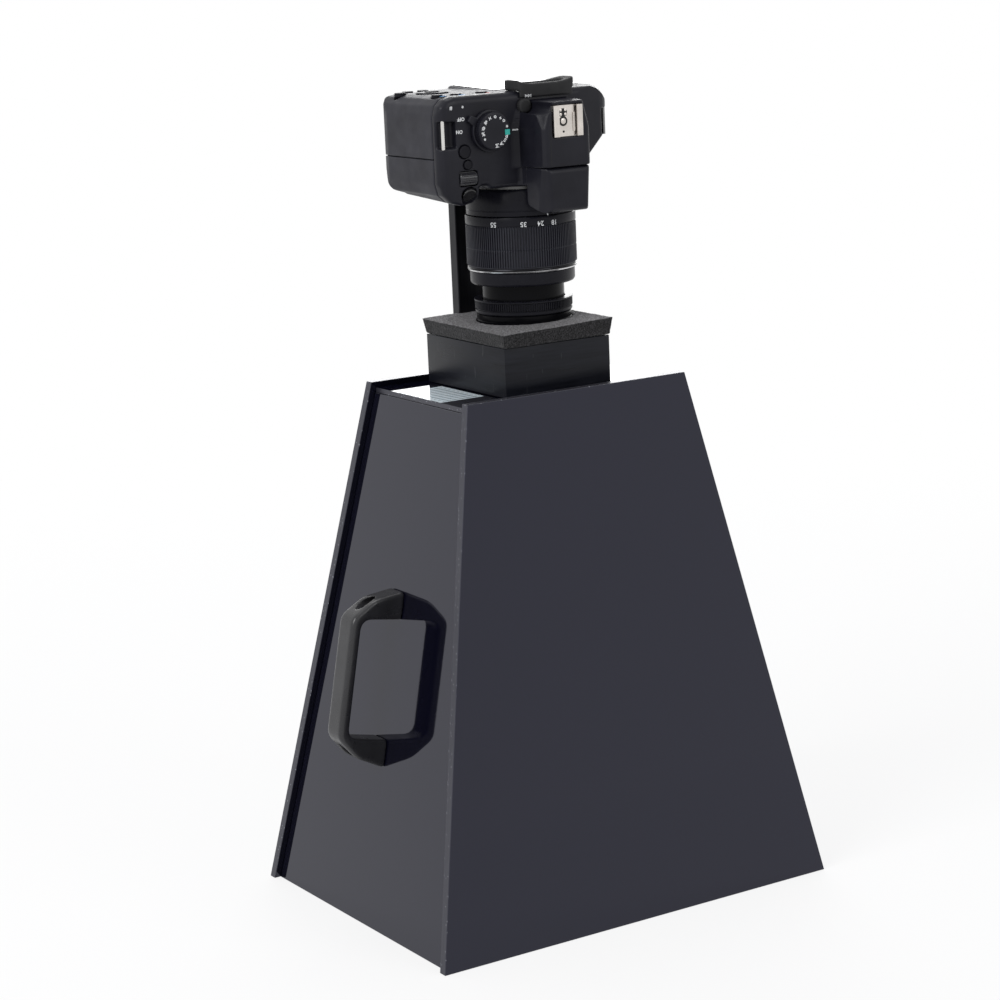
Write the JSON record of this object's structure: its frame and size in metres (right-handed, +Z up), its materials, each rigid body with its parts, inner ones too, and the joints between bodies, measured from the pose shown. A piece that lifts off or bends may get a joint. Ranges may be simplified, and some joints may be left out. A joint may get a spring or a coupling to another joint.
{
  "type": "gel documentation hood",
  "caption": "Tapered dark acrylic hood for gel imaging, with side handles, a collar, a foam light seal and a camera with a zoom lens looking down on a bracket.",
  "frame": {"origin": "middle of the hood's open base, on the surface that it stands on", "axes": "+X along the front panel, to the right for someone who faces it; +Y from the front panel to the rear panel; +Z up. The lens looks along -Z and the camera's top plate faces -Y."},
  "size_m": [0.3004, 0.22, 0.5142],
  "materials": {
    "black_acrylic": "gloss",
    "moulded_nylon": "satin",
    "painted_board": "satin",
    "foam": "open-cell foam",
    "black_anodised": "anodised",
    "body_plastic": "fine grain",
    "gloss_plastic": "gloss",
    "rubber": "matte",
    "steel": "bright",
    "lens_glass": "coated",
    "amber_glass": "clear"
  },
  "bodies": {
    "stand": {"front_panel": "black_acrylic", "rear_panel": "black_acrylic", "left_side_panel": "black_acrylic", "right_side_panel": "black_acrylic", "top_plate": "black_acrylic", "left_handle": "moulded_nylon", "right_handle": "moulded_nylon", "left_upper_handle_screw": "steel", "left_lower_handle_screw": "steel", "right_upper_handle_screw": "steel", "right_lower_handle_screw": "steel", "collar_front_board": "painted_board", "collar_rear_board": "painted_board", "collar_left_board": "painted_board", "collar_right_board": "painted_board", "foam_pad": "foam", "bracket_bar": "black_anodised", "left_bracket_screw": "steel", "right_bracket_screw": "steel", "camera_pad": "rubber", "lens_mount": "steel", "lens_barrel": "body_plastic", "lens_skirt": "body_plastic", "front_shell": "body_plastic", "back_shell": "body_plastic", "top_cover": "body_plastic", "hot_shoe": "steel", "left_strap_lug": "steel", "right_strap_lug": "steel", "eyecup": "rubber", "screen_window": "gloss_plastic"},
    "zoom": {"zoom_ring": "body_plastic", "zoom_grip": "rubber", "zoom_trim_ring": "steel"},
    "inner_tube": {"inner_barrel": "gloss_plastic", "front_element": "lens_glass"},
    "focus": {"focus_ring": "body_plastic", "filter_frame": "black_anodised", "filter_glass": "amber_glass"},
    "flash_head_body": {"flash_head": "body_plastic"},
    "mode_dial_body": {"mode_dial": "body_plastic"},
    "power_lever_body": {"power_lever": "body_plastic"},
    "main_dial_body": {"main_dial": "body_plastic"},
    "flash_button_body": {"flash_button": "body_plastic"},
    "iso_button_body": {"iso_button": "body_plastic"},
    "shutter_button_body": {"shutter_button": "gloss_plastic"},
    "dioptre_knob_body": {"dioptre_knob": "body_plastic"},
    "live_view_button_body": {"live_view_button": "body_plastic"},
    "zoom_out_button_body": {"zoom_out_button": "body_plastic"},
    "zoom_in_button_body": {"zoom_in_button": "body_plastic"},
    "playback_button_body": {"playback_button": "body_plastic"},
    "delete_button_body": {"delete_button": "body_plastic"},
    "menu_button_body": {"menu_button": "body_plastic"},
    "cross_keys_body": {"cross_keys": "body_plastic"},
    "set_button_body": {"set_button": "body_plastic"},
    "battery_door_body": {"battery_door": "body_plastic"},
    "terminal_cover_body": {"terminal_cover": "rubber"},
    "lens_release_button_body": {"lens_release_button": "body_plastic"},
    "camera_screw_knob_body": {"camera_screw_knob": "black_anodised"}
  },
  "joints": [
    {"name": "zoom_turn", "type": "hinge", "parent": "stand", "child": "zoom", "pos_m": [0.0024, 0.0015, 0.4151], "axis": [0, 0, 1], "range_deg": [-7.2, 59.2]},
    {"name": "barrel_slide", "type": "slide", "parent": "stand", "child": "inner_tube", "axis": [0, 0, 1], "range_m": [-0.00107, 0.009]},
    {"name": "focus_turn", "type": "hinge", "parent": "inner_tube", "child": "focus", "pos_m": [0.0024, 0.0015, 0.3741], "axis": [0, 0, 1], "range_deg": [-40, 40]},
    {"name": "flash_lift", "type": "hinge", "parent": "stand", "child": "flash_head_body", "pos_m": [0.0024, -0.052, 0.4588], "axis": [-1, 0, 0], "range_deg": [0, 75]},
    {"name": "mode_dial_turn", "type": "hinge", "parent": "stand", "child": "mode_dial_body", "pos_m": [-0.0376, -0.0295, 0.4853], "axis": [0, -1, 0], "continuous": true},
    {"name": "power_lever_turn", "type": "hinge", "parent": "stand", "child": "power_lever_body", "pos_m": [-0.0376, -0.0295, 0.4853], "axis": [0, -1, 0], "range_deg": [0, 30]},
    {"name": "main_dial_turn", "type": "hinge", "parent": "stand", "child": "main_dial_body", "pos_m": [-0.0528, -0.0266, 0.458], "axis": [1, 0, 0], "continuous": true},
    {"name": "dioptre_turn", "type": "hinge", "parent": "stand", "child": "dioptre_knob_body", "pos_m": [-0.0126, -0.0295, 0.4985], "axis": [0, -1, 0], "range_deg": [-120, 120]},
    {"name": "camera_screw_turn", "type": "hinge", "parent": "stand", "child": "camera_screw_knob_body", "pos_m": [0.0024, 0.0515, 0.4761], "axis": [0, 1, 0], "continuous": true},
    {"name": "battery_door_open", "type": "hinge", "parent": "stand", "child": "battery_door_body", "pos_m": [-0.0588, 0.0447, 0.4846], "axis": [0, 0, 1], "range_deg": [0, 95]},
    {"name": "terminal_cover_open", "type": "hinge", "parent": "stand", "child": "terminal_cover_body", "pos_m": [0.0586, 0.0105, 0.4869], "axis": [0, 1, 0], "range_deg": [0, 100]},
    {"name": "flash_button_press", "type": "slide", "parent": "stand", "child": "flash_button_body", "axis": [0, 1, 0], "range_m": [0, 0.0007], "stiffness_N_per_m": 400, "springref_m": -0.0008},
    {"name": "iso_button_press", "type": "slide", "parent": "stand", "child": "iso_button_body", "axis": [0, 1, 0], "range_m": [0, 0.0007], "stiffness_N_per_m": 400, "springref_m": -0.0008},
    {"name": "shutter_press", "type": "slide", "parent": "stand", "child": "shutter_button_body", "axis": [0, 0.788, 0.6157], "range_m": [0, 0.001], "stiffness_N_per_m": 400, "springref_m": -0.0008},
    {"name": "live_view_press", "type": "slide", "parent": "stand", "child": "live_view_button_body", "axis": [0, 0, -1], "range_m": [0, 0.0007], "stiffness_N_per_m": 400, "springref_m": -0.0008},
    {"name": "zoom_out_press", "type": "slide", "parent": "stand", "child": "zoom_out_button_body", "axis": [0, 0, -1], "range_m": [0, 0.0007], "stiffness_N_per_m": 400, "springref_m": -0.0008},
    {"name": "zoom_in_press", "type": "slide", "parent": "stand", "child": "zoom_in_button_body", "axis": [0, 0, -1], "range_m": [0, 0.0007], "stiffness_N_per_m": 400, "springref_m": -0.0008},
    {"name": "playback_press", "type": "slide", "parent": "stand", "child": "playback_button_body", "axis": [0, 0, -1], "range_m": [0, 0.0007], "stiffness_N_per_m": 400, "springref_m": -0.0008},
    {"name": "delete_press", "type": "slide", "parent": "stand", "child": "delete_button_body", "axis": [0, 0, -1], "range_m": [0, 0.0007], "stiffness_N_per_m": 400, "springref_m": -0.0008},
    {"name": "menu_press", "type": "slide", "parent": "stand", "child": "menu_button_body", "axis": [0, 0, -1], "range_m": [0, 0.0007], "stiffness_N_per_m": 400, "springref_m": -0.0008},
    {"name": "cross_keys_press", "type": "slide", "parent": "stand", "child": "cross_keys_body", "axis": [0, 0, -1], "range_m": [0, 0.0006], "stiffness_N_per_m": 400, "springref_m": -0.0008},
    {"name": "set_press", "type": "slide", "parent": "stand", "child": "set_button_body", "axis": [0, 0, -1], "range_m": [0, 0.0007], "stiffness_N_per_m": 400, "springref_m": -0.0008},
    {"name": "lens_release_press", "type": "slide", "parent": "stand", "child": "lens_release_button_body", "axis": [0, 0, 1], "range_m": [0, 0.0011], "stiffness_N_per_m": 400, "springref_m": -0.0008}
  ],
  "couplings": [
    {"joint": "zoom_turn", "follows": "barrel_slide", "rad_per_m": 114.42}
  ]
}
